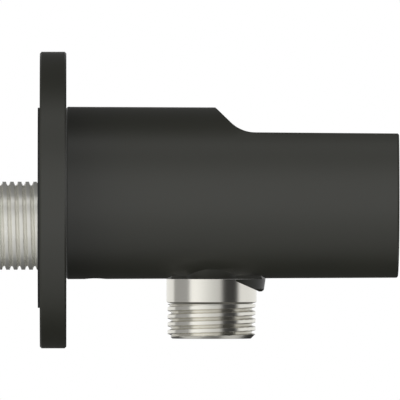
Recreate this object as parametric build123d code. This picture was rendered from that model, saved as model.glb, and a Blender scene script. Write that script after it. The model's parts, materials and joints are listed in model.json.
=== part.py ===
from build123d import *
import math
import os

# Wall outlet elbow, in millimetres. X runs out of the wall, Z is up. The origin is on the axis of the
# inlet thread, in the plane where the gasket meets the wall.

# Threads: both ends carry the half-inch parallel pipe thread, drawn at its crest
thread_radius = 10.4
thread_chamfer = 1.1

# Plain space kept between neighbours that do not touch
free_gap = 0.3

# Wall plate
plate_radius = 35.0
plate_thickness = 6.25
plate_rise = 6.05
plate_face = 2.4
plate_rim = 2.6
plate_chamfer = 0.4

# Gasket: an upright obround pad in a pocket of the plate's back
gasket_radius = 19.4
gasket_stretch = 8.45
gasket_thickness = 2.0
gasket_proud = 0.5
pocket_clearance = 0.2
pocket_wall = 2.0

# Body: a drafted round arm, hollow, with a ramp and a deck cut into its upper outer half
projection = 85.0
body_radius = 20.35
draft_angle = 0.25
body_wall = 2.6
end_wall = 3.0
end_edge_radius = 0.5
joint_chamfer = 0.35
ramp_foot = 47.8
ramp_angle = 45.0
deck_height = 14.28
deck_fall = 0.45
cove_radius = 8.25

# Outlet seat and guard under the body
outlet_x = 41.0
seat_radius = 7.2
seat_embed = 2.3
seat_slope = 48.0
seat_proud = 0.06
guard_radius = 12.75
guard_draft = 8.0
guard_drop = 2.95
guard_tip = 1.5
guard_slope = 24.0
guard_blunt = 0.4
land_width = 9.0
guard_edge_radius = 0.8

# Inlet nipple: thread into the wall, then a sealed spigot into the elbow
inlet_reach = 13.0
inlet_shoulder = 1.9
inlet_shank_radius = 9.4
spigot_radius = 7.35
spigot_end = 26.0
spigot_chamfer = 0.8
inlet_bore = 4.8
inlet_mouth_radius = 6.0
inlet_mouth_depth = 3.0
key_width = 8.0
lock_groove_side = 0.2
lock_groove_depth = 0.8
ring_groove_depth = 1.25
ring_groove_width = 1.9
front_ring_x = 23.2
rear_ring_x = 19.4

# Water elbow
socket_clearance = 0.15
socket_wall = 2.0
socket_start = 2.2
socket_end_gap = 1.0
socket_floor = 1.6
water_radius = 4.8
water_wall = 1.9
boss_radius = 8.2
boss_seat_proud = 0.25
plate_hole_clearance = 0.25
elbow_floor_gap = 0.53

# Outlet nipple
outlet_reach = 14.05
head_radius = 10.65
head_height = 5.4
neck_radius = 6.0
neck_bore = 4.2
neck_top = -3.0
neck_clearance = 0.1
thread_relief = 0.5
pocket_radius = 7.6
pocket_depth = 11.4
outlet_ring_width = 1.4
outlet_ring_space = 1.15

# Set screw
screw_x = 13.5
screw_radius = 2.5
screw_clearance = 0.05
screw_tip_radius = 1.7
screw_tip_length = 0.8
screw_recess = 0.5
screw_key_width = 2.5
screw_key_depth = 2.2

# Non-return insert
valve_clearance = 0.15
valve_recess = 1.2
valve_wall = 1.55
valve_seat_thickness = 1.5
valve_port_radius = 3.9
valve_groove_depth = 0.85
valve_groove_width = 1.5
valve_groove_drop = 3.4
guide_thickness = 2.0
guide_rim = 1.0
guide_hub_radius = 2.1
guide_rib_width = 1.0
guide_ribs = 3
guide_clearance = 0.05
poppet_radius = 4.9
poppet_thickness = 1.1
poppet_button_radius = 1.5
poppet_seal_thickness = 0.8
poppet_gap = 0.05
stem_radius = 1.0
stem_clearance = 0.15
stem_hold = 0.8
spring_coil_radius = 2.65
spring_wire_radius = 0.22
spring_turns = 4.5
spring_sides = 8
spring_gap = 0.04

# Small space left round each seal, so that seals touch nothing they would be squeezed by
seal_clearance = 0.02
seal_sides = 12

# Places worked out from the sizes above
plate_back = gasket_proud
plate_front = plate_back + plate_thickness
lock_groove_width = 2 * (screw_radius + lock_groove_side)
socket_radius = spigot_radius + socket_clearance
socket_outer = socket_radius + socket_wall
body_rise = body_radius - body_wall - elbow_floor_gap - socket_outer
socket_bottom = spigot_end + socket_end_gap
draft = math.tan(math.radians(draft_angle))
outlet_body_radius = body_radius - (outlet_x - plate_front) * draft
seat_z = body_rise - outlet_body_radius - head_radius * draft - seat_proud
seat_spread = seat_embed / math.tan(math.radians(seat_slope))
boss_seat_z = (
    body_rise
    - math.sqrt((outlet_body_radius - body_wall) ** 2 - boss_radius**2)
    + boss_seat_proud
)
outlet_end_z = seat_z - outlet_reach
head_bottom_z = seat_z - head_height
pocket_top_z = outlet_end_z + pocket_depth
valve_radius = pocket_radius - valve_clearance
valve_inner = valve_radius - valve_wall
valve_top_z = pocket_top_z - valve_clearance
valve_bottom_z = outlet_end_z + valve_recess
poppet_top_z = valve_top_z - valve_seat_thickness - poppet_gap
disc_top_z = poppet_top_z - poppet_seal_thickness
disc_bottom_z = disc_top_z - poppet_thickness
guide_top_z = valve_bottom_z + guide_thickness

os.makedirs("parts", exist_ok=True)


def along_x(radius, start, end, z=0.0):
    """A cylinder along X between two stations."""
    drum = Cylinder(radius, end - start, align=(Align.CENTER, Align.CENTER, Align.MIN))
    return Pos(start, 0, z) * Rot(0, 90, 0) * drum


def along_z(radius, bottom, top, x=outlet_x):
    """An upright cylinder between two heights."""
    drum = Cylinder(radius, top - bottom, align=(Align.CENTER, Align.CENTER, Align.MIN))
    return Pos(x, 0, bottom) * drum


def turned_on_x(*profile):
    """A turned piece on the inlet axis, from (station, radius) points."""
    return revolve(make_face(Plane.XZ * Polyline(*profile, close=True)), Axis.X)


def turned_on_outlet(*profile):
    """A turned piece on the outlet axis, from (radius, height) points."""
    return Pos(outlet_x, 0, 0) * revolve(make_face(Plane.XZ * Polyline(*profile, close=True)), Axis.Z)


def groove_x(depth, width, station, radius):
    """The ring that a groove takes out of a spigot of that radius."""
    start = station - width / 2
    return along_x(radius + 1, start, start + width) - along_x(radius - depth, start, start + width)


def seal_ring(inner, outer):
    """A round-section seal that fills the space between two radii."""
    section = RegularPolygon((outer - inner) / 2 - seal_clearance, seal_sides)
    return revolve(Plane.XZ * Pos((inner + outer) / 2, 0) * section, Axis.Z)


def obround(grow):
    """The gasket's upright outline in the wall plane, grown on all sides."""
    slot = SlotCenterToCenter(gasket_stretch, 2 * (gasket_radius + grow), rotation=90)
    return Plane.YZ * Pos(0, gasket_stretch / 2) * slot


def wall_plate():
    """Round escutcheon: rim and face, a pocket for the gasket, a hole for the elbow's socket."""
    disc = along_x(plate_radius, plate_back, plate_front, plate_rise)
    disc = chamfer(disc.edges().filter_by(GeomType.CIRCLE), plate_chamfer)
    hollow = Plane.YZ * Pos(0, plate_rise) * Circle(plate_radius - plate_rim)
    relief = hollow - obround(pocket_clearance + pocket_wall)
    relief_depth = plate_thickness - plate_face
    plate = disc - Pos(plate_back, 0, 0) * extrude(relief, relief_depth)
    pocket_floor = gasket_thickness - gasket_proud
    plate -= Pos(plate_back, 0, 0) * extrude(obround(pocket_clearance), pocket_floor)
    return plate - along_x(socket_outer + plate_hole_clearance, plate_back, plate_front)


def wall_gasket():
    """Soft pad that seals the plate to the wall round the thread."""
    pad = extrude(obround(0), gasket_thickness)
    return pad - along_x(thread_radius + free_gap, 0, gasket_thickness)


def scoop(inset):
    """What is cut off the arm above its ramp, cove and deck, or that shape sunk by a wall's thickness."""
    ramp = math.radians(ramp_angle)
    fall = math.radians(deck_fall)
    ramp_in = Vector(-math.sin(ramp), -math.cos(ramp))
    deck_in = Vector(-math.sin(fall), -math.cos(fall))
    corner = Vector(ramp_foot, body_rise + deck_height)
    corner += (ramp_in + deck_in) * (inset / (1 + ramp_in.dot(deck_in)))
    top = corner + Vector(-math.cos(ramp), math.sin(ramp)) * (2 * body_radius)
    far = corner + Vector(math.cos(fall), -math.sin(fall)) * (2 * projection)
    cut_line = FilletPolyline(top, corner, far, radius=cove_radius + inset)
    lid = Polyline(far, (far.X, top.Y), top)
    area = make_face(Plane.XZ * (cut_line + lid))
    return extrude(area, 2 * body_radius, both=True)


def arm(inset, end):
    """The drafted round arm from the plate to a station, or its inside, smaller by a wall."""
    length = end - plate_front
    taper = length * draft
    root = body_radius - inset
    cone = Cone(root, root - taper, length, align=(Align.CENTER, Align.CENTER, Align.MIN))
    return Pos(plate_front, 0, body_rise) * Rot(0, 90, 0) * cone


def guard():
    """Crescent beside the outlet's head: flat above, slanted below, on a narrow land."""
    tip = guard_radius - guard_drop * math.tan(math.radians(guard_draft))
    skirt = Cone(tip, guard_radius, guard_drop, align=(Align.CENTER, Align.CENTER, Align.MIN))
    skirt = Pos(outlet_x, 0, seat_z - guard_drop) * skirt
    inner = along_z(head_radius + free_gap, seat_z - guard_drop, seat_z)
    length = guard_tip + (guard_drop - guard_blunt) / math.tan(math.radians(guard_slope))
    outer_x = outlet_x + guard_radius
    wedge = Polyline(
        (outer_x - length, seat_z),
        (outer_x, seat_z),
        (outer_x, seat_z - guard_drop),
        (outer_x - guard_tip, seat_z - guard_drop),
        (outer_x - length, seat_z - guard_blunt),
        close=True,
    )
    wedge = extrude(make_face(Plane.XZ * wedge), 2 * guard_radius, both=True)
    crescent = (skirt & wedge) - inner
    low_edges = crescent.faces().sort_by(Axis.X)[-1].edges().group_by(Axis.Z)[0]
    crescent = fillet(low_edges, guard_edge_radius)
    foot = land_width / 2
    top = foot + seat_spread
    land = Polyline(
        (-foot, seat_z),
        (foot, seat_z),
        (top, seat_z + seat_embed),
        (-top, seat_z + seat_embed),
        close=True,
    )
    land = make_face(Plane.YZ * land)
    outer_land = Pos(outlet_x, 0, 0) * extrude(land, guard_radius)
    outer_land &= along_z(guard_radius, seat_z, seat_z + seat_embed)
    inner_land = Pos(outlet_x, 0, 0) * extrude(land, -head_radius)
    inner_land &= along_z(head_radius, seat_z, seat_z + seat_embed)
    return crescent + outer_land + inner_land


def body():
    """Hollow cast arm, open at the wall, with the outlet's seat, the guard and the set screw's hole."""
    outer = arm(0, projection)
    outside = outer - scoop(0)
    end_edges = outside.faces().sort_by(Axis.X)[-1].edges()
    outside = fillet(end_edges, end_edge_radius)
    joint_edge = outside.faces().sort_by(Axis.X)[0].edges()
    outside = chamfer(joint_edge, joint_chamfer)
    hollow = arm(body_wall, projection - end_wall) - scoop(body_wall)
    inner_seat = along_z(boss_radius + free_gap, seat_z, boss_seat_z) & outer
    seat = Cone(
        seat_radius,
        seat_radius + seat_spread,
        seat_embed,
        align=(Align.CENTER, Align.CENTER, Align.MIN),
    )
    seat = Pos(outlet_x, 0, seat_z) * seat
    shell = (outside - hollow) + inner_seat + seat + guard()
    shell -= along_z(neck_radius + neck_clearance, seat_z, boss_seat_z)
    return shell - along_z(screw_radius + screw_clearance, body_rise - body_radius, 0, screw_x)


def water_elbow():
    """Brass elbow: socket for the inlet's spigot, a short pipe and the boss that takes the outlet."""
    pipe_radius = water_radius + water_wall
    solid = along_x(socket_outer, socket_start, socket_bottom + socket_floor)
    solid += along_x(pipe_radius, socket_start, outlet_x)
    solid += along_z(boss_radius, boss_seat_z, 0)
    solid += Pos(outlet_x, 0, 0) * Sphere(boss_radius, arc_size1=0)
    solid -= along_x(socket_radius, socket_start, socket_bottom)
    solid -= along_x(water_radius, socket_start, outlet_x)
    solid -= Pos(outlet_x, 0, 0) * Sphere(water_radius)
    solid -= along_z(neck_radius + neck_clearance, boss_seat_z, 0)
    solid -= along_z(neck_radius + outlet_ring_space, boss_seat_z, boss_seat_z + outlet_ring_width)
    return solid - along_z(screw_radius + screw_clearance, -2 * socket_outer, 0, screw_x)


def inlet_nipple():
    """Turned nipple: thread for the wall, a key socket, and a spigot with a locking and two seal grooves."""
    solid = turned_on_x(
        (-inlet_reach, 0),
        (-inlet_reach, thread_radius - thread_chamfer),
        (thread_chamfer - inlet_reach, thread_radius),
        (0, thread_radius),
        (0, inlet_shank_radius),
        (inlet_shoulder, inlet_shank_radius),
        (inlet_shoulder, spigot_radius),
        (spigot_end - spigot_chamfer, spigot_radius),
        (spigot_end, spigot_radius - spigot_chamfer),
        (spigot_end, 0),
    )
    solid -= groove_x(lock_groove_depth, lock_groove_width, screw_x, spigot_radius)
    for station in (front_ring_x, rear_ring_x):
        solid -= groove_x(ring_groove_depth, ring_groove_width, station, spigot_radius)
    mouth_end = inlet_mouth_depth - inlet_reach
    solid -= along_x(inlet_mouth_radius, -inlet_reach, mouth_end)
    key = RegularPolygon(key_width / 2, 6, major_radius=False)
    solid -= Pos(mouth_end, 0, 0) * extrude(Plane.YZ * key, inlet_shoulder - mouth_end)
    return solid - along_x(inlet_bore, inlet_shoulder, spigot_end)


def inlet_o_ring(station):
    """Seal of the spigot in the elbow's socket."""
    ring = seal_ring(spigot_radius - ring_groove_depth, socket_radius)
    return Pos(station, 0, 0) * Rot(0, 90, 0) * ring


def outlet_nipple():
    """Turned nipple: threaded neck in the elbow, plain head, hose thread, and a pocket for the insert."""
    thread_start = head_bottom_z - thread_relief
    return turned_on_outlet(
        (neck_bore, neck_top),
        (neck_radius, neck_top),
        (neck_radius, seat_z),
        (head_radius, seat_z),
        (head_radius, head_bottom_z),
        (thread_radius, thread_start),
        (thread_radius, outlet_end_z + thread_chamfer),
        (thread_radius - thread_chamfer, outlet_end_z),
        (pocket_radius, outlet_end_z),
        (pocket_radius, pocket_top_z),
        (neck_bore, pocket_top_z),
    )


def outlet_o_ring():
    """Seal of the outlet's neck in the mouth of the elbow's boss."""
    ring = seal_ring(neck_radius, neck_radius + outlet_ring_space)
    return Pos(outlet_x, 0, boss_seat_z + outlet_ring_width / 2) * ring


def set_screw():
    """Grub screw from below, its tip in the spigot's locking groove."""
    tip_z = lock_groove_depth - spigot_radius - screw_clearance
    bottom_z = body_rise - body_radius + screw_recess
    profile = (
        (0, bottom_z),
        (screw_radius, bottom_z),
        (screw_radius, tip_z - screw_tip_length),
        (screw_tip_radius, tip_z),
        (0, tip_z),
    )
    screw = Pos(screw_x, 0, 0) * revolve(make_face(Plane.XZ * Polyline(*profile, close=True)), Axis.Z)
    key = extrude(RegularPolygon(screw_key_width / 2, 6, major_radius=False), screw_key_depth)
    return screw - Pos(screw_x, 0, bottom_z) * key


def valve_housing():
    """Moulded sleeve of the non-return insert, with its seat above and a seal groove outside."""
    groove_top = valve_top_z - valve_groove_drop
    groove_floor = valve_radius - valve_groove_depth
    seat_bottom = valve_top_z - valve_seat_thickness
    return turned_on_outlet(
        (valve_port_radius, valve_top_z),
        (valve_radius, valve_top_z),
        (valve_radius, groove_top),
        (groove_floor, groove_top),
        (groove_floor, groove_top - valve_groove_width),
        (valve_radius, groove_top - valve_groove_width),
        (valve_radius, valve_bottom_z),
        (valve_inner, valve_bottom_z),
        (valve_inner, seat_bottom),
        (valve_port_radius, seat_bottom),
    )


def valve_o_ring():
    """Seal of the insert in the outlet's pocket."""
    ring = seal_ring(valve_radius - valve_groove_depth, pocket_radius)
    return Pos(outlet_x, 0, valve_top_z - valve_groove_drop - valve_groove_width / 2) * ring


def valve_guide():
    """Spider in the sleeve's mouth: rim, ribs and a hub for the poppet's stem."""
    rim_radius = valve_inner - guide_clearance
    rim = Circle(rim_radius) - Circle(rim_radius - guide_rim)
    hub = Circle(guide_hub_radius)
    reach = rim_radius - guide_rim / 2
    rib = Pos(reach / 2, 0) * Rectangle(reach, guide_rib_width)
    outline = rim + hub + PolarLocations(0, guide_ribs) * rib
    outline -= Circle(stem_radius + stem_clearance)
    return Pos(outlet_x, 0, valve_bottom_z) * extrude(outline, guide_thickness)


def valve_poppet():
    """Disc with a button for its seal and a stem that runs in the guide."""
    return turned_on_outlet(
        (0, poppet_top_z),
        (poppet_button_radius, poppet_top_z),
        (poppet_button_radius, disc_top_z),
        (poppet_radius, disc_top_z),
        (poppet_radius, disc_bottom_z),
        (stem_radius, disc_bottom_z),
        (stem_radius, guide_top_z - stem_hold),
        (0, guide_top_z - stem_hold),
    )


def poppet_seal():
    """Flat soft ring on the poppet that closes the port."""
    inner = poppet_button_radius + seal_clearance
    ring = along_z(poppet_radius, disc_top_z, poppet_top_z)
    return ring - along_z(inner, disc_top_z, poppet_top_z)


def valve_spring():
    """Coil spring between the guide and the poppet."""
    foot = guide_top_z + spring_wire_radius + spring_gap
    height = disc_bottom_z - spring_wire_radius - spring_gap - foot
    coil = Helix(height / spring_turns, height, spring_coil_radius)
    section = Plane(origin=coil @ 0, z_dir=coil % 0) * RegularPolygon(spring_wire_radius, spring_sides)
    return Pos(outlet_x, 0, foot) * sweep(section, coil, is_frenet=True)


nodes = {
    "wall_plate": wall_plate(),
    "wall_gasket": wall_gasket(),
    "body": body(),
    "water_elbow": water_elbow(),
    "inlet_nipple": inlet_nipple(),
    "front_o_ring": inlet_o_ring(front_ring_x),
    "rear_o_ring": inlet_o_ring(rear_ring_x),
    "set_screw": set_screw(),
    "outlet_nipple": outlet_nipple(),
    "outlet_o_ring": outlet_o_ring(),
    "valve_housing": valve_housing(),
    "valve_o_ring": valve_o_ring(),
    "valve_guide": valve_guide(),
    "valve_poppet": valve_poppet(),
    "poppet_seal": poppet_seal(),
    "valve_spring": valve_spring(),
}
for name, shape in nodes.items():
    export_step(shape, f"parts/{name}.step")
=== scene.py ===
"""Looks of the wall outlet elbow: finishes, threads, the valve's coil, and a small white studio."""

import json
import logging
import math
from dataclasses import dataclass, field
from enum import Enum

import bmesh
import bpy
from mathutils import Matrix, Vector


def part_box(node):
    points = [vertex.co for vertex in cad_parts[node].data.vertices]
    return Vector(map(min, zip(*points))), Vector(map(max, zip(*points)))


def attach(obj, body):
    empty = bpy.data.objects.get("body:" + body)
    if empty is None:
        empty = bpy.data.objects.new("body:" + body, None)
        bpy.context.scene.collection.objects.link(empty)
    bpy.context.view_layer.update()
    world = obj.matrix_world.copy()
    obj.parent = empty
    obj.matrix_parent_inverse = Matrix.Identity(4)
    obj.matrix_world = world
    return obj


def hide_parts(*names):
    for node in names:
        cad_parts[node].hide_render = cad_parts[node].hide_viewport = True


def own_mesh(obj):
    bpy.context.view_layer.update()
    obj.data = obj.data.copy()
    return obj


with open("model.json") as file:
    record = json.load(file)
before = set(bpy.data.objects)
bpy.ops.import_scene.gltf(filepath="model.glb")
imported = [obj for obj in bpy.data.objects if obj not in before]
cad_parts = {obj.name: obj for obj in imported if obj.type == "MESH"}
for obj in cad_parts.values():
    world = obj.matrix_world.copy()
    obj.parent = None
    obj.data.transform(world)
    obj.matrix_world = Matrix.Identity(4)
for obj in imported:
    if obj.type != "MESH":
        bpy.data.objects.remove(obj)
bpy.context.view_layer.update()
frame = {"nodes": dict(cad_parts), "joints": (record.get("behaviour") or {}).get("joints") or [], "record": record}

LOG = logging.getLogger("elbow")
MM = 0.001
WHITE = (1.0, 1.0, 1.0, 1.0)

# Places of the colour sockets on a Mix node, whose names are used more than once
MIX_SHARE = 0
MIX_FROM = 6
MIX_TO = 7
MIX_COLOUR = 2

Tone = tuple[float, float, float]
Point = tuple[float, float, float]
Span = tuple[float, float]
Stops = tuple[Span, ...]
Pieces = list[bpy.types.Object]


class Axis(Enum):
    """The axis that a turned piece runs along."""

    ALONG_ARM = "X"
    UPRIGHT = "Z"


class Slot(Enum):
    """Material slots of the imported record."""

    BLACK_COAT = "black_coat"
    BRIGHT_PLATING = "bright_plating"
    RAW_BRASS = "raw_brass"
    BLACK_RUBBER = "black_rubber"
    STEEL = "steel"
    PALE_PLASTIC = "pale_plastic"


class Term:
    """A number inside a node tree that is used in sums like a plain one."""

    def __init__(self, graph: "Graph", socket: bpy.types.NodeSocket) -> None:
        """Wraps the output that carries the number in a tree."""
        self.graph = graph
        self.socket = socket

    def calc(self, operation: str, *others: "Term | float") -> "Term":
        """Applies one maths operation.

        Args:
            operation: the maths node's own name for it.
            others: what goes in after this number.

        Returns:
            The result as a new number.
        """
        values = dict(enumerate((self, *others)))
        node = self.graph.make("ShaderNodeMath", {"operation": operation}, values)
        return Term(self.graph, node.outputs[0])

    def __add__(self, other: "Term | float") -> "Term":
        """Adds."""
        return self.calc("ADD", other)

    def __sub__(self, other: "Term | float") -> "Term":
        """Takes away."""
        return self.calc("SUBTRACT", other)

    def __rsub__(self, other: float) -> "Term":
        """Is taken away from a plain number."""
        return self.calc("MULTIPLY", -1.0).calc("ADD", other)

    def __mul__(self, other: "Term | float") -> "Term":
        """Multiplies."""
        return self.calc("MULTIPLY", other)

    def __truediv__(self, other: "Term | float") -> "Term":
        """Divides."""
        return self.calc("DIVIDE", other)

    def __rtruediv__(self, other: float) -> "Term":
        """Divides a plain number."""
        return self.calc("POWER", -1.0).calc("MULTIPLY", other)

    def __gt__(self, other: "Term | float") -> "Term":
        """Is 1 where it is greater."""
        return self.calc("GREATER_THAN", other)

    def __lt__(self, other: "Term | float") -> "Term":
        """Is 1 where it is less."""
        return self.calc("LESS_THAN", other)

    __radd__ = __add__
    __rmul__ = __mul__

    def between(self, low: "Term | float", high: "Term | float") -> "Term":
        """Keeps the number inside two limits."""
        return self.calc("MAXIMUM", low).calc("MINIMUM", high)

    def rise(self, start: float, end: float) -> "Term":
        """Smooth step from 0 to 1.

        Args:
            start: where it is 0.
            end: where it is 1.

        Returns:
            The step.
        """
        node = self.graph.make(
            "ShaderNodeMapRange",
            {"interpolation_type": "SMOOTHSTEP"},
            {"Value": self, "From Min": start, "From Max": end},
        )
        return Term(self.graph, node.outputs[0])

    def band(self, start: float, end: float, soft: float) -> "Term":
        """Is 1 between two limits and 0 outside them, with edges that reach soft to either side."""
        return self.rise(start - soft, start + soft) - self.rise(end - soft, end + soft)

    def blend(self, other: "Term | float", share: "Term") -> "Term":
        """Goes from this number to another as the share goes from 0 to 1."""
        return self * (1.0 - share) + share * other


class Graph:
    """Makes nodes in one tree."""

    def __init__(self, tree: bpy.types.NodeTree) -> None:
        """Takes a tree and empties it."""
        self.tree = tree
        tree.nodes.clear()

    def make(
        self, kind: str, settings: dict[str, object], values: dict[str | int, object]
    ) -> bpy.types.Node:
        """Makes a node.

        Args:
            kind: the node's type.
            settings: its own settings, or the stops of a ramp as (place, level) pairs.
            values: a number, a Term, an output or a plain value for each input.

        Returns:
            The node.
        """
        node = self.tree.nodes.new(kind)
        for name, value in settings.items():
            if name == "stops":
                self.set_stops(node, value)
            else:
                setattr(node, name, value)
        for name, value in values.items():
            source = value.socket if isinstance(value, Term) else value
            if isinstance(source, bpy.types.NodeSocket):
                self.tree.links.new(source, node.inputs[name])
            else:
                node.inputs[name].default_value = source
        return node

    def set_stops(self, ramp: bpy.types.Node, stops: Stops) -> None:
        """Gives a ramp its stops.

        Args:
            ramp: the ramp's node.
            stops: (place, level) pairs, in order.
        """
        marks = ramp.color_ramp.elements
        while len(marks) < len(stops):
            marks.new(0.5)
        for mark, (place, level) in zip(marks, stops):
            mark.position = place
            mark.color = (level, level, level, 1.0)

    def parts(self, vector: bpy.types.NodeSocket) -> list[Term]:
        """Splits a vector into its three numbers."""
        node = self.make("ShaderNodeSeparateXYZ", {}, {"Vector": vector})
        return [Term(self, socket) for socket in node.outputs]

    def vector(
        self, x: "Term | float", y: "Term | float", z: "Term | float"
    ) -> bpy.types.NodeSocket:
        """Joins three numbers to a vector."""
        return self.make("ShaderNodeCombineXYZ", {}, {"X": x, "Y": y, "Z": z}).outputs[0]

    def noise(self, place: bpy.types.NodeSocket, size: float, detail: float) -> Term:
        """Makes a cloudy pattern around 0.5, with clouds of a size in metres."""
        values = {"Vector": place, "Scale": 1.0 / size, "Detail": detail}
        return Term(self, self.make("ShaderNodeTexNoise", {}, values).outputs[0])


@dataclass(frozen=True)
class Finish:
    """How one material looks.

    Attributes:
        slot: the record's slot that it belongs to.
        tone: its middle colour.
        spread: how far the colour wanders, as a share.
        roughness: its middle roughness.
        roughness_spread: how far the roughness wanders.
        metallic: 1 for bare metal.
        grain: size of the fine grain.
        grain_detail: how many finer layers the grain has.
        grain_share: how much the grain adds to the clouds in the colour.
        cloud: size of the slow clouds.
        cloud_detail: how many finer layers the clouds have.
        bump: strength of the grain in the shading.
        bump_height: height of the grain in the shading.
        smoothest: the least roughness.
        specular: strength of the plain reflection.
        title: the material's own name, where it isn't the slot's.
    """

    slot: Slot
    tone: Tone
    spread: float
    roughness: float
    roughness_spread: float
    metallic: float = 0.0
    grain: float = 0.25 * MM
    grain_detail: float = 2.0
    grain_share: float = 0.5
    cloud: float = 12.0 * MM
    cloud_detail: float = 3.0
    bump: float = 0.05
    bump_height: float = 0.1 * MM
    smoothest: float = 0.03
    specular: float = 0.5
    title: str = ""

    def shade(self, share: float) -> tuple[float, float, float, float]:
        """The middle colour made paler by a share of itself, or darker by a negative one."""
        red, green, blue = (level * (1.0 + share) for level in self.tone)
        return (red, green, blue, 1.0)

    def material(self) -> bpy.types.Material:
        """Builds the shader from two patterns that both lie around a half.

        Returns:
            The new material.
        """
        made = bpy.data.materials.new(self.title or self.slot.value)
        made.use_nodes = True
        graph = Graph(made.node_tree)
        place = graph.make("ShaderNodeTexCoord", {}, {}).outputs["Object"]
        fine = graph.noise(place, self.grain, self.grain_detail)
        slow = graph.noise(place, self.cloud, self.cloud_detail)
        share = (fine * self.grain_share + slow - self.grain_share / 2).between(0.0, 1.0)
        colour = graph.make(
            "ShaderNodeMix",
            {"data_type": "RGBA"},
            {
                MIX_SHARE: share,
                MIX_FROM: self.shade(-self.spread),
                MIX_TO: self.shade(self.spread),
            },
        ).outputs[MIX_COLOUR]
        dull = (fine + slow - 1.0) * self.roughness_spread + self.roughness
        relief = graph.make(
            "ShaderNodeBump",
            {},
            {"Height": fine, "Strength": self.bump, "Distance": self.bump_height},
        ).outputs[0]
        surface = graph.make(
            "ShaderNodeBsdfPrincipled",
            {},
            {
                "Base Color": colour,
                "Roughness": dull.between(self.smoothest, 1.0),
                "Metallic": self.metallic,
                "Specular IOR Level": self.specular,
                "Normal": relief,
            },
        )
        graph.make("ShaderNodeOutputMaterial", {}, {"Surface": surface.outputs[0]})
        return made


BLACK_COAT = Finish(
    slot=Slot.BLACK_COAT,
    tone=(0.0220, 0.0229, 0.0136),
    spread=0.10,
    roughness=0.40,
    roughness_spread=0.05,
    grain=0.18 * MM,
    bump=0.10,
    specular=0.88,
)
BRIGHT_PLATING = Finish(
    slot=Slot.BRIGHT_PLATING,
    tone=(0.78, 0.763, 0.70),
    spread=0.03,
    roughness=0.21,
    roughness_spread=0.05,
    metallic=0.97,
    grain=0.12 * MM,
    bump=0.01,
)
# A lit copy of the bright plating for the wall nipple alone: its paler colour and lower metallic are painted light
# that brightens the thread, not a different finish
LIT_PLATING = Finish(
    slot=Slot.BRIGHT_PLATING,
    tone=(0.95, 0.94, 0.875),
    spread=0.03,
    roughness=0.26,
    roughness_spread=0.05,
    metallic=0.68,
    grain=0.12 * MM,
    bump=0.01,
    title="lit_plating",
)
RAW_BRASS = Finish(
    slot=Slot.RAW_BRASS,
    tone=(0.66, 0.46, 0.20),
    spread=0.12,
    roughness=0.32,
    roughness_spread=0.12,
    metallic=1.0,
    grain=0.4 * MM,
    bump=0.08,
)
BLACK_RUBBER = Finish(
    slot=Slot.BLACK_RUBBER,
    tone=(0.018, 0.018, 0.018),
    spread=0.15,
    roughness=0.62,
    roughness_spread=0.08,
    bump=0.10,
)
STEEL = Finish(
    slot=Slot.STEEL,
    tone=(0.56, 0.56, 0.57),
    spread=0.05,
    roughness=0.24,
    roughness_spread=0.08,
    metallic=1.0,
    grain=0.15 * MM,
    bump=0.02,
)
PALE_PLASTIC = Finish(
    slot=Slot.PALE_PLASTIC,
    tone=(0.78, 0.79, 0.80),
    spread=0.04,
    roughness=0.46,
    roughness_spread=0.05,
    bump=0.03,
)
FINISHES = (
    BLACK_COAT,
    BRIGHT_PLATING,
    LIT_PLATING,
    RAW_BRASS,
    BLACK_RUBBER,
    STEEL,
    PALE_PLASTIC,
)


class Palette:
    """The finished materials, one for each finish."""

    def __init__(self, finishes: tuple[Finish, ...]) -> None:
        """Builds every material, from finishes with the usual one of each slot first.

        Args:
            finishes: the finishes to build.
        """
        self.made = {finish: finish.material() for finish in finishes}
        self.slots = {
            row["node"]: Slot(row["material_slot"]) for row in frame["record"]["subparts"]
        }

    def usual(self, slot: Slot) -> Finish:
        """The usual finish of a slot."""
        return next(finish for finish in self.made if finish.slot is slot)

    def paint(self, piece: bpy.types.Object, finish: Finish) -> None:
        """Puts a finish on a piece.

        Args:
            piece: the piece.
            finish: the finish.
        """
        piece.data.materials.clear()
        piece.data.materials.append(self.made[finish])

    def paint_node(self, node: str) -> bpy.types.Object:
        """Puts the record's finish on a solid.

        Args:
            node: the solid's name.

        Returns:
            The solid.
        """
        piece = frame["nodes"][node]
        self.paint(piece, self.usual(self.slots[node]))
        LOG.info("painted %s as %s", node, self.slots[node].value)
        return piece


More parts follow.
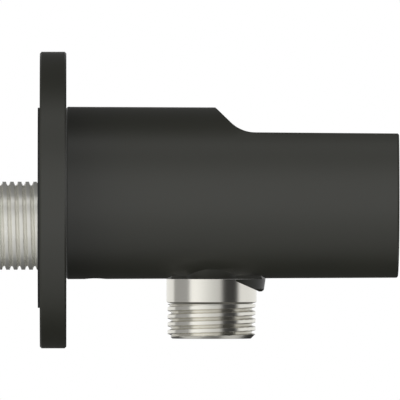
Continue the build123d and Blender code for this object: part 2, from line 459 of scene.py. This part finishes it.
class NodePiece:
    """A mesh made by a geometry node tree and then kept as a plain mesh."""

    def __init__(self, name: str) -> None:
        """Starts the tree.

        Args:
            name: the piece's name.
        """
        self.name = name
        self.tree = bpy.data.node_groups.new(name, "GeometryNodeTree")
        self.graph = Graph(self.tree)
        self.tree.interface.new_socket(
            "Geometry", in_out="OUTPUT", socket_type="NodeSocketGeometry"
        )
        self.values: dict[str, float] = {}
        self.entry = self.graph.make("NodeGroupInput", {}, {})

    def size(self, name: str, value: float) -> Term:
        """Adds a named input.

        Args:
            name: the input's name.
            value: its value, in metres where it is a length.

        Returns:
            The input as a number.
        """
        made = self.tree.interface.new_socket(name, in_out="INPUT", socket_type="NodeSocketFloat")
        self.values[made.identifier] = value
        return Term(self.graph, self.entry.outputs[name])

    def keep(
        self, geometry: bpy.types.NodeSocket, material: bpy.types.Material
    ) -> bpy.types.Object:
        """Ends the tree and turns what it makes into a mesh.

        Args:
            geometry: the tree's last geometry.
            material: the finish.

        Returns:
            The new piece, at the origin.
        """
        solid = self.graph.make("GeometryNodeRealizeInstances", {}, {"Geometry": geometry})
        painted = self.graph.make(
            "GeometryNodeSetMaterial", {}, {"Geometry": solid.outputs[0], "Material": material}
        )
        self.graph.make("NodeGroupOutput", {}, {"Geometry": painted.outputs[0]})
        holder = add_piece(self.name + "_rule", bpy.data.meshes.new(self.name + "_rule"))
        modifier = holder.modifiers.new("rule", "NODES")
        modifier.node_group = self.tree
        for identifier, value in self.values.items():
            modifier[identifier] = value
        bpy.context.view_layer.update()
        shape = holder.evaluated_get(bpy.context.evaluated_depsgraph_get())
        mesh = bpy.data.meshes.new_from_object(shape)
        bpy.data.objects.remove(holder)
        mesh.name = self.name
        mesh.shade_smooth()
        return add_piece(self.name, mesh)


def add_piece(name: str, mesh: bpy.types.Mesh) -> bpy.types.Object:
    """Puts a mesh in the scene, at the origin.

    Args:
        name: the piece's name.
        mesh: its mesh.

    Returns:
        The new piece.
    """
    piece = bpy.data.objects.new(name, mesh)
    bpy.context.scene.collection.objects.link(piece)
    return piece


@dataclass(frozen=True)
class ThreadForm:
    """The half-inch parallel pipe thread.

    Attributes:
        crest: radius at the crests.
        pitch: rise of one turn.
        depth: from crest to root.
        flat: share of the pitch that the flat crest takes up.
        round_root: how pointed the groove's bottom is, from 0 for a sine to 1 for a sharp corner.
        round_crest: size of the rounding beside the crest's flat.
        chamfer: size of the chamfer at the free end.
        under: how far the core lies below the root.
        sleeve: thickness of the thread's sleeve below the root.
        slack: how far past its ends the band of the thread is looked for.
        merge: distance within which corners of the copied solid are joined.
        seam: the same for the thread's own seam.
        core_crease: angle from which an edge of the core is kept sharp.
        crease: angle from which an edge of the thread is kept sharp.
        around: corners round the axis.
        per_turn: corners along each pitch.
    """

    crest: float = 10.4 * MM
    pitch: float = 1.814 * MM
    depth: float = 0.9 * MM
    flat: float = 0.46
    round_root: float = 0.30
    round_crest: float = 0.12 * MM
    chamfer: float = 1.1 * MM
    under: float = 0.1 * MM
    sleeve: float = 0.3 * MM
    slack: float = 0.02 * MM
    merge: float = 0.001 * MM
    seam: float = 0.0001 * MM
    core_crease: float = math.radians(25.0)
    crease: float = math.radians(50.0)
    around: int = 120
    per_turn: int = 28


@dataclass(frozen=True)
class ThreadedNipple:
    """A turned nipple whose thread is cut in place of the plain cylinder of the solid.

    Attributes:
        node: the solid that it stands for.
        axis: the axis that it is turned about.
        centre: the point of that axis nearest to the origin.
        free_end: station of the end that the nut or socket goes on from.
        root_end: station where the thread stops.
        run_out: length over which the thread fades there.
        lead_in: share of a turn at which the thread starts.
        plating: its finish.
        form: the thread's form.
    """

    node: str
    axis: Axis
    centre: Vector
    free_end: float
    root_end: float
    run_out: float
    lead_in: float
    plating: Finish
    form: ThreadForm = field(default_factory=ThreadForm)

    def core(self) -> bpy.types.Object:
        """Copies the solid and sinks its thread band below the thread's root.

        Returns:
            The core piece.
        """
        form = self.form
        mesh = frame["nodes"][self.node].data.copy()
        mesh.name = self.node + "_core"
        sunk = form.crest - form.depth - form.under
        low = min(self.free_end, self.root_end) - form.slack
        high = max(self.free_end, self.root_end) + form.slack
        along = Vector((1, 0, 0)) if self.axis is Axis.ALONG_ARM else Vector((0, 0, 1))
        shape = bmesh.new()
        shape.from_mesh(mesh)
        bmesh.ops.remove_doubles(shape, verts=shape.verts, dist=form.merge)
        for corner in shape.verts:
            station = corner.co.dot(along)
            off = corner.co - self.centre - along * station
            if off.length > sunk and low <= station <= high:
                corner.co = self.centre + along * station + off * (sunk / off.length)
        shape.to_mesh(mesh)
        shape.free()
        mesh.attributes.remove(mesh.attributes["custom_normal"])
        mesh.shade_smooth()
        mesh.set_sharp_from_angle(angle=form.core_crease)
        return add_piece(self.node + "_core", mesh)

    def thread(self, material: bpy.types.Material) -> bpy.types.Object:
        """Makes the helical thread as a closed sleeve, from a grid whose rows run along the axis.

        Args:
            material: its finish.

        Returns:
            The thread piece.
        """
        form = self.form
        rule = NodePiece(self.node + "_thread")
        graph = rule.graph
        pitch = rule.size("Pitch", form.pitch)
        crest = rule.size("Crest radius", form.crest)
        depth = rule.size("Depth", form.depth)
        chamfer = rule.size("Chamfer", form.chamfer)
        run_out = rule.size("Run out", self.run_out)
        start = rule.size("Free end", self.free_end)
        stop = rule.size("Root end", self.root_end)
        lead_in = rule.size("Lead in", self.lead_in)
        # The outer rows come first, then both ends of the sleeve's bore, then the first row again
        rows = int(abs(self.root_end - self.free_end) / form.pitch * form.per_turn) + 2
        last = rows + 2
        grid = graph.make(
            "GeometryNodeMeshGrid",
            {},
            {
                "Size X": 1.0,
                "Size Y": 1.0,
                "Vertices X": form.around + 1,
                "Vertices Y": last + 1,
            },
        )
        u, v, _ = graph.parts(graph.make("GeometryNodeInputPosition", {}, {}).outputs[0])
        turn = u + 0.5
        row = ((v + 0.5) * float(last)).calc("ROUND")
        past_outer = row > rows - 0.5
        inside = past_outer * (row < last - 0.5)
        outer_share = (row / float(rows - 1)).between(0.0, 1.0)
        back_share = (float(last - 1) - row).between(0.0, 1.0)
        station = start.blend(stop, outer_share.blend(back_share, past_outer))
        phase = (station / pitch - turn - lead_in) * math.tau
        wave = (phase.calc("SINE") * form.round_root).calc("ARCSINE") / math.asin(form.round_root)
        edge = 1.0 - 2.0 * form.flat
        fade = ((stop - station).calc("ABSOLUTE") / run_out).between(0.0, 1.0)
        flank = crest + (wave - edge) * (depth * fade) / (1.0 + edge)
        reach = flank.calc("SMOOTH_MIN", crest, form.round_crest)
        reach = reach.calc("MINIMUM", crest - chamfer + (station - start).calc("ABSOLUTE"))
        reach = reach.blend(crest - depth - form.sleeve, inside)
        angle = turn * math.tau
        across = reach * angle.calc("COSINE")
        upward = reach * angle.calc("SINE")
        if self.axis is Axis.ALONG_ARM:
            place = graph.vector(station, across + self.centre.y, upward + self.centre.z)
        else:
            place = graph.vector(across + self.centre.x, upward + self.centre.y, station)
        bent = graph.make(
            "GeometryNodeSetPosition", {}, {"Geometry": grid.outputs[0], "Position": place}
        )
        closed = graph.make(
            "GeometryNodeMergeByDistance",
            {},
            {"Geometry": bent.outputs[0], "Distance": form.seam},
        )
        piece = rule.keep(closed.outputs[0], material)
        shape = bmesh.new()
        shape.from_mesh(piece.data)
        bmesh.ops.recalc_face_normals(shape, faces=shape.faces)
        shape.to_mesh(piece.data)
        shape.free()
        piece.data.set_sharp_from_angle(angle=form.crease)
        return piece

    def build(self, palette: Palette) -> Pieces:
        """Makes both pieces and puts them in the solid's place.

        Args:
            palette: the finishes.

        Returns:
            The core and the thread.
        """
        pieces = [self.core(), self.thread(palette.made[self.plating])]
        for piece in pieces:
            palette.paint(piece, self.plating)
            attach(piece, "fitting")
            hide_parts(self.node)
            LOG.info("made %s with %d faces", piece.name, len(piece.data.polygons))
        return pieces


@dataclass(frozen=True)
class Casing:
    """The black pieces that are seen, and the screw that locks the arm.

    Attributes:
        nodes: its solids.
    """

    nodes: tuple[str, ...] = ("wall_plate", "wall_gasket", "body", "set_screw")

    def build(self, palette: Palette) -> Pieces:
        """Dresses the solids."""
        return [palette.paint_node(node) for node in self.nodes]


@dataclass(frozen=True)
class Waterway:
    """The brass elbow, its seals and the two threaded nipples.

    Attributes:
        nodes: its solids.
        inlet_run_out: length over which the wall thread fades at the gasket.
        inlet_lead_in: share of a turn at which the wall thread starts.
        outlet_length: length of the hose thread.
        outlet_run_out: length over which the hose thread fades under the head.
        outlet_lead_in: share of a turn at which the hose thread starts.
    """

    nodes: tuple[str, ...] = (
        "water_elbow",
        "inlet_nipple",
        "front_o_ring",
        "rear_o_ring",
        "outlet_nipple",
        "outlet_o_ring",
    )
    inlet_run_out: float = 0.1 * MM
    inlet_lead_in: float = 0.13
    outlet_length: float = 8.15 * MM
    outlet_run_out: float = 0.6 * MM
    outlet_lead_in: float = 0.415

    def build(self, palette: Palette) -> Pieces:
        """Dresses the solids and cuts both threads.

        Args:
            palette: the finishes.

        Returns:
            The solids and the new pieces.
        """
        pieces = [palette.paint_node(node) for node in self.nodes]
        inlet_low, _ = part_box("inlet_nipple")
        outlet_low, outlet_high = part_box("outlet_nipple")
        outlet_axis = (outlet_low + outlet_high) / 2
        inlet = ThreadedNipple(
            node="inlet_nipple",
            axis=Axis.ALONG_ARM,
            centre=Vector((0.0, 0.0, 0.0)),
            free_end=inlet_low.x,
            root_end=0.0,
            run_out=self.inlet_run_out,
            lead_in=self.inlet_lead_in,
            # the wall nipple takes the lit copy of the plating, whose paler colour is painted light
            plating=LIT_PLATING,
        )
        outlet = ThreadedNipple(
            node="outlet_nipple",
            axis=Axis.UPRIGHT,
            centre=Vector((outlet_axis.x, outlet_axis.y, 0.0)),
            free_end=outlet_low.z,
            root_end=outlet_low.z + self.outlet_length,
            run_out=self.outlet_run_out,
            lead_in=self.outlet_lead_in,
            plating=BRIGHT_PLATING,
        )
        return pieces + inlet.build(palette) + outlet.build(palette)


@dataclass(frozen=True)
class NonReturnInsert:
    """The valve in the outlet's mouth, with its coil spring.

    Attributes:
        nodes: its solids.
        spring: the solid that the coil stands for.
        joint: the joint that presses it.
        wire: radius of its wire.
        turns: number of turns.
        per_turn: corners along each turn.
        around: corners round the wire.
    """

    nodes: tuple[str, ...] = (
        "valve_housing",
        "valve_o_ring",
        "valve_guide",
        "valve_poppet",
        "poppet_seal",
        "valve_spring",
    )
    spring: str = "valve_spring"
    joint: str = "valve_lift"
    wire: float = 0.22 * MM
    turns: float = 4.5
    per_turn: int = 40
    around: int = 12

    def coil(self, palette: Palette) -> bpy.types.Object:
        """Makes the coil in the place of the spring's solid.

        Args:
            palette: the finishes.

        Returns:
            The coil.
        """
        low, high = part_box(self.spring)
        middle = (low + high) / 2
        rule = NodePiece("valve_coil")
        graph = rule.graph
        wire = rule.size("Wire radius", self.wire)
        coil_radius = rule.size("Coil radius", (high.x - low.x) / 2 - self.wire)
        height = rule.size("Height", high.z - low.z - 2 * self.wire)
        turns = rule.size("Turns", self.turns)
        path = graph.make(
            "GeometryNodeCurveSpiral",
            {},
            {
                "Resolution": self.per_turn,
                "Rotations": turns,
                "Start Radius": coil_radius,
                "End Radius": coil_radius,
                "Height": height,
            },
        )
        section = graph.make(
            "GeometryNodeCurvePrimitiveCircle", {}, {"Resolution": self.around, "Radius": wire}
        )
        tube = graph.make(
            "GeometryNodeCurveToMesh",
            {},
            {"Curve": path.outputs[0], "Profile Curve": section.outputs[0], "Fill Caps": True},
        )
        placed = graph.make(
            "GeometryNodeTransform",
            {},
            {
                "Geometry": tube.outputs[0],
                "Translation": (middle.x, middle.y, low.z + self.wire),
            },
        )
        coil = rule.keep(placed.outputs[0], palette.made[STEEL])
        palette.paint(coil, STEEL)
        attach(coil, "fitting")
        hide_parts(self.spring)
        joint = next(row for row in frame["joints"] if row["name"] == self.joint)
        pressed = 1.0 - max(joint["range_m"]) / (high.z - low.z)
        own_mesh(coil)
        LOG.info("made %s with %d faces", coil.name, len(coil.data.polygons))
        return coil

    def build(self, palette: Palette) -> Pieces:
        """Dresses the solids and winds the coil."""
        return [palette.paint_node(node) for node in self.nodes] + [self.coil(palette)]


@dataclass(frozen=True)
class Studio:
    """White studio round the object, drawn as light that depends on direction only.

    Angles are degrees. Heights go up from level, and sides go round to the right from the camera.
    A soft edge is given as half its width.

    Attributes:
        aim: the point that the camera looks at.
        distance: from the camera to that point, along the view.
        stand: how far out from the wall the camera stands, near the plate's front, seen edge-on.
        lens: the camera's lens, in millimetres.
        sensor: width of the camera's sensor, in millimetres.
        clip: nearest and farthest distance that the camera sees.
        floor_z: height of the floor.
        floor_radius: radius of the floor.
        floor_corners: corners of its rim.
        floor_fade: shares of the radius between which it fades out.
        floor_tone: the floor's colour.
        floor_speckle: how far the colour wanders.
        floor_cloud: size of the clouds in it.
        floor_detail: how many finer layers the clouds have.
        floor_roughness: the floor's roughness.
        floor_glow: how much of the floor's paleness is its own.
        front: light on the camera's side, as (height, strength).
        back: light on the far side, in the same way.
        turn: how far to the front and back of the object the one light turns into the other.
        fall: sides between which the light on the camera's side falls.
        fall_level: what is left of that light after the fall.
        card_reach: upright shares of a direction between which the side cards start.
        right_card: sides of the dark card at the right.
        right_soft: its soft edge.
        right_level: what is left of the light there.
        left_card: sides of the grey card at the left.
        left_soft: its soft edge.
        left_level: its light.
        low_card: sides between which the dark low card starts at the right.
        low_height: heights of that card.
        low_soft: its soft edge in height.
        low_level: what is left of the light there.
        table: sides of the pale table behind, on both sides of the object's shadow.
        table_soft: its soft edge at the sides.
        table_height: heights of that table.
        table_height_soft: its soft edge in height.
        table_level: its light.
        backdrop_left: sides between which the white backdrop starts at the left.
        backdrop_right: sides between which it starts at the right.
        backdrop_height: heights of the backdrop.
        backdrop_soft: its soft edge in height.
    """

    aim: Point = (38.285 * MM, 0.0, 6.06 * MM)
    distance: float = 3.671
    stand: float = 10.0 * MM
    lens: float = 1400.0
    sensor: float = 36.0
    clip: Span = (0.1, 20.0)
    floor_z: float = -60.0 * MM
    floor_radius: float = 0.45
    floor_corners: int = 96
    floor_fade: Span = (0.55, 0.95)
    floor_tone: float = 0.95
    floor_speckle: float = 0.02
    floor_cloud: float = 25.0 * MM
    floor_detail: float = 2.0
    floor_roughness: float = 0.9
    floor_glow: float = 0.45
    front: Stops = (
        (-90.0, 0.22),
        (-80.0, 0.48),
        (-62.0, 0.76),
        (-40.0, 0.92),
        (-15.0, 1.25),
        (0.0, 1.12),
        (15.0, 1.25),
        (35.0, 0.90),
        (50.0, 0.60),
        (62.0, 1.00),
        (69.0, 1.22),
        (75.0, 0.75),
        (80.0, 0.30),
        (90.0, 0.12),
    )
    back: Stops = (
        (-90.0, 0.22),
        (-78.0, 0.06),
        (-40.0, 0.05),
        (-15.0, 0.15),
        (0.0, 0.30),
        (15.0, 0.15),
        (40.0, 0.14),
        (75.0, 0.12),
        (90.0, 0.12),
    )
    turn: float = 0.12
    fall: Span = (-50.0, 20.0)
    fall_level: float = 0.58
    card_reach: Span = (0.95, 0.80)
    right_card: Span = (26.0, 71.0)
    right_soft: float = 7.0
    right_level: float = 0.05
    left_card: Span = (-110.0, -58.0)
    left_soft: float = 4.0
    left_level: float = 0.38
    low_card: Span = (50.0, 62.0)
    low_height: Span = (-34.0, -9.0)
    low_soft: float = 4.0
    low_level: float = 0.25
    table: Span = (98.0, 136.0)
    table_soft: float = 8.0
    table_height: Span = (-78.0, -36.0)
    table_height_soft: float = 6.0
    table_level: float = 0.60
    backdrop_left: Span = (-108.0, -116.0)
    backdrop_right: Span = (70.0, 80.0)
    backdrop_height: Span = (-5.0, 12.0)
    backdrop_soft: float = 3.0

    def ramp(self, graph: Graph, height: Term, stops: Stops) -> Term:
        """Reads the light at a height from a list of stops.

        Args:
            graph: the world's tree.
            height: degrees up.
            stops: (degrees up, strength) pairs.

        Returns:
            The light's strength.
        """
        places = tuple((degrees / 180.0 + 0.5, level) for degrees, level in stops)
        fac = height / 180.0 + 0.5
        node = graph.make("ShaderNodeValToRGB", {"stops": places}, {"Fac": fac})
        return Term(graph, node.outputs[0])

    def world(self) -> None:
        """Builds the light round the object, and plain white behind it."""
        world = bpy.data.worlds.new("studio")
        world.use_nodes = True
        bpy.context.scene.world = world
        graph = Graph(world.node_tree)
        x, y, z = graph.parts(graph.make("ShaderNodeTexCoord", {}, {}).outputs["Generated"])
        height = z.between(-1.0, 1.0).calc("ARCSINE") * math.degrees(1.0)
        side = x.calc("ARCTAN2", y * -1.0) * math.degrees(1.0)
        front = self.ramp(graph, height, self.front)
        front = front * (1.0 - side.rise(*self.fall) * (1.0 - self.fall_level))
        light = self.ramp(graph, height, self.back).blend(front, y.rise(self.turn, -self.turn))
        reach = z.calc("ABSOLUTE").rise(*self.card_reach)
        right = side.band(*self.right_card, self.right_soft) * reach
        left = side.band(*self.left_card, self.left_soft) * reach
        light = light * (1.0 - right * (1.0 - self.right_level))
        light = light.blend(self.left_level, left)
        low = side.rise(*self.low_card) * height.band(*self.low_height, self.low_soft)
        light = light * (1.0 - low * (1.0 - self.low_level))
        table = side.calc("ABSOLUTE").band(*self.table, self.table_soft)
        table = table * height.band(*self.table_height, self.table_height_soft)
        light = light.calc("MAXIMUM", table * self.table_level)
        around = side.rise(*self.backdrop_left)
        around = around.calc("MAXIMUM", side.rise(*self.backdrop_right))
        backdrop = around * height.band(*self.backdrop_height, self.backdrop_soft)
        path = graph.make("ShaderNodeLightPath", {}, {})
        mirrored = backdrop * Term(graph, path.outputs["Is Glossy Ray"])
        seen = Term(graph, path.outputs["Is Camera Ray"]).calc("MAXIMUM", mirrored)
        seen = seen.calc("MAXIMUM", Term(graph, path.outputs["Is Transmission Ray"]))
        lit = graph.make("ShaderNodeBackground", {}, {"Color": WHITE, "Strength": light})
        plain = graph.make("ShaderNodeBackground", {}, {"Color": WHITE, "Strength": 1.0})
        mixed = graph.make(
            "ShaderNodeMixShader", {}, {0: seen, 1: lit.outputs[0], 2: plain.outputs[0]}
        )
        graph.make("ShaderNodeOutputWorld", {}, {"Surface": mixed.outputs[0]})

    def floor(self) -> None:
        """Makes a pale floor well below the object that fades out at its rim."""
        mesh = bpy.data.meshes.new("floor")
        ring = [math.tau * step / self.floor_corners for step in range(self.floor_corners)]
        corners = [
            (
                self.aim[0] + self.floor_radius * math.cos(angle),
                self.floor_radius * math.sin(angle),
                self.floor_z,
            )
            for angle in ring
        ]
        mesh.from_pydata(corners, [], [tuple(range(self.floor_corners))])
        floor = add_piece("floor", mesh)
        made = bpy.data.materials.new("floor")
        made.use_nodes = True
        graph = Graph(made.node_tree)
        place = graph.make("ShaderNodeTexCoord", {}, {}).outputs["Object"]
        x, y, _ = graph.parts(place)
        away = (x - self.aim[0]).calc("POWER", 2.0) + y.calc("POWER", 2.0)
        fade_start, fade_end = (self.floor_radius * share for share in self.floor_fade)
        fade = away.calc("SQRT").rise(fade_start, fade_end)
        under = Term(graph, graph.make("ShaderNodeNewGeometry", {}, {}).outputs["Backfacing"])
        path = graph.make("ShaderNodeLightPath", {}, {})
        hidden = 1.0 - Term(graph, path.outputs["Is Camera Ray"])
        clear = fade.calc("MAXIMUM", under).calc("MAXIMUM", hidden)
        speckle = graph.noise(place, self.floor_cloud, self.floor_detail) * self.floor_speckle
        matt = graph.make(
            "ShaderNodeBsdfPrincipled",
            {},
            {
                "Base Color": speckle + (self.floor_tone - self.floor_speckle / 2),
                "Roughness": self.floor_roughness,
                "Specular IOR Level": 0.0,
                "Emission Color": (self.floor_tone, self.floor_tone, self.floor_tone, 1.0),
                "Emission Strength": self.floor_glow,
            },
        )
        through = graph.make("ShaderNodeBsdfTransparent", {}, {})
        mixed = graph.make(
            "ShaderNodeMixShader", {}, {0: clear, 1: matt.outputs[0], 2: through.outputs[0]}
        )
        graph.make("ShaderNodeOutputMaterial", {}, {"Surface": mixed.outputs[0]})
        mesh.materials.append(made)

    def camera(self) -> None:
        """Sets the camera level with the object, at the photo's angle."""
        data = bpy.data.cameras.new("camera")
        data.lens = self.lens
        data.sensor_width = self.sensor
        data.clip_start, data.clip_end = self.clip
        camera = bpy.data.objects.new("camera", data)
        place = Vector((self.stand, self.aim[1] - self.distance, self.aim[2]))
        camera.location = place
        camera.rotation_euler = (Vector(self.aim) - place).to_track_quat("-Z", "Y").to_euler()
        bpy.context.scene.collection.objects.link(camera)
        bpy.context.scene.camera = camera

    def build(self, pieces: Pieces) -> None:
        """Sets up light, floor and camera, and leaves only the threads to be seen in mirrors.

        Args:
            pieces: the object's pieces.
        """
        self.world()
        self.floor()
        self.camera()
        for piece in pieces:
            piece.visible_glossy = piece.name.endswith("_thread")
        bpy.context.scene.view_settings.view_transform = "Standard"


def main() -> None:
    """Builds the sub-assemblies in order, then the studio."""
    logging.basicConfig(level=logging.INFO, format="%(message)s")
    palette = Palette(FINISHES)
    pieces: Pieces = []
    for assembly in (Casing(), Waterway(), NonReturnInsert()):
        pieces += assembly.build(palette)
        LOG.info("built %s", type(assembly).__name__)
    Studio().build(pieces)


if __name__ == "__main__":
    main()
